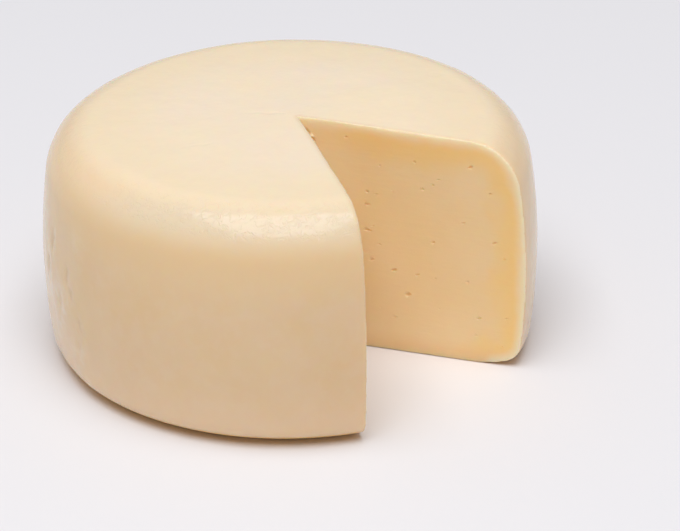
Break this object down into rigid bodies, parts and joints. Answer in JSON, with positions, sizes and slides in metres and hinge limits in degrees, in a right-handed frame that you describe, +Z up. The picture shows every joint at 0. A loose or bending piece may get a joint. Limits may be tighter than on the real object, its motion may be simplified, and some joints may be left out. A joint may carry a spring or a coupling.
{
  "type": "cheese wheel",
  "caption": "Pressed semi-hard sheep's-milk cheese wheel with a smooth ivory rind and a wedge cut out of it, showing dense pale paste with small slit-like eyes.",
  "frame": {"origin": "on the wheel's axis, at the middle of its flat foot", "axes": "+Z up along the wheel's axis, the wedge cut opens towards +X and -Y, and -Y is the picture's side"},
  "size_m": [0.2004, 0.1995, 0.0992],
  "materials": {
    "cheese": "smooth ivory cheese rind with a soft waxy sheen, paler dense paste at the cuts"
  },
  "bodies": {
    "root": {"cheese_wheel": "cheese"}
  },
  "joints": []
}
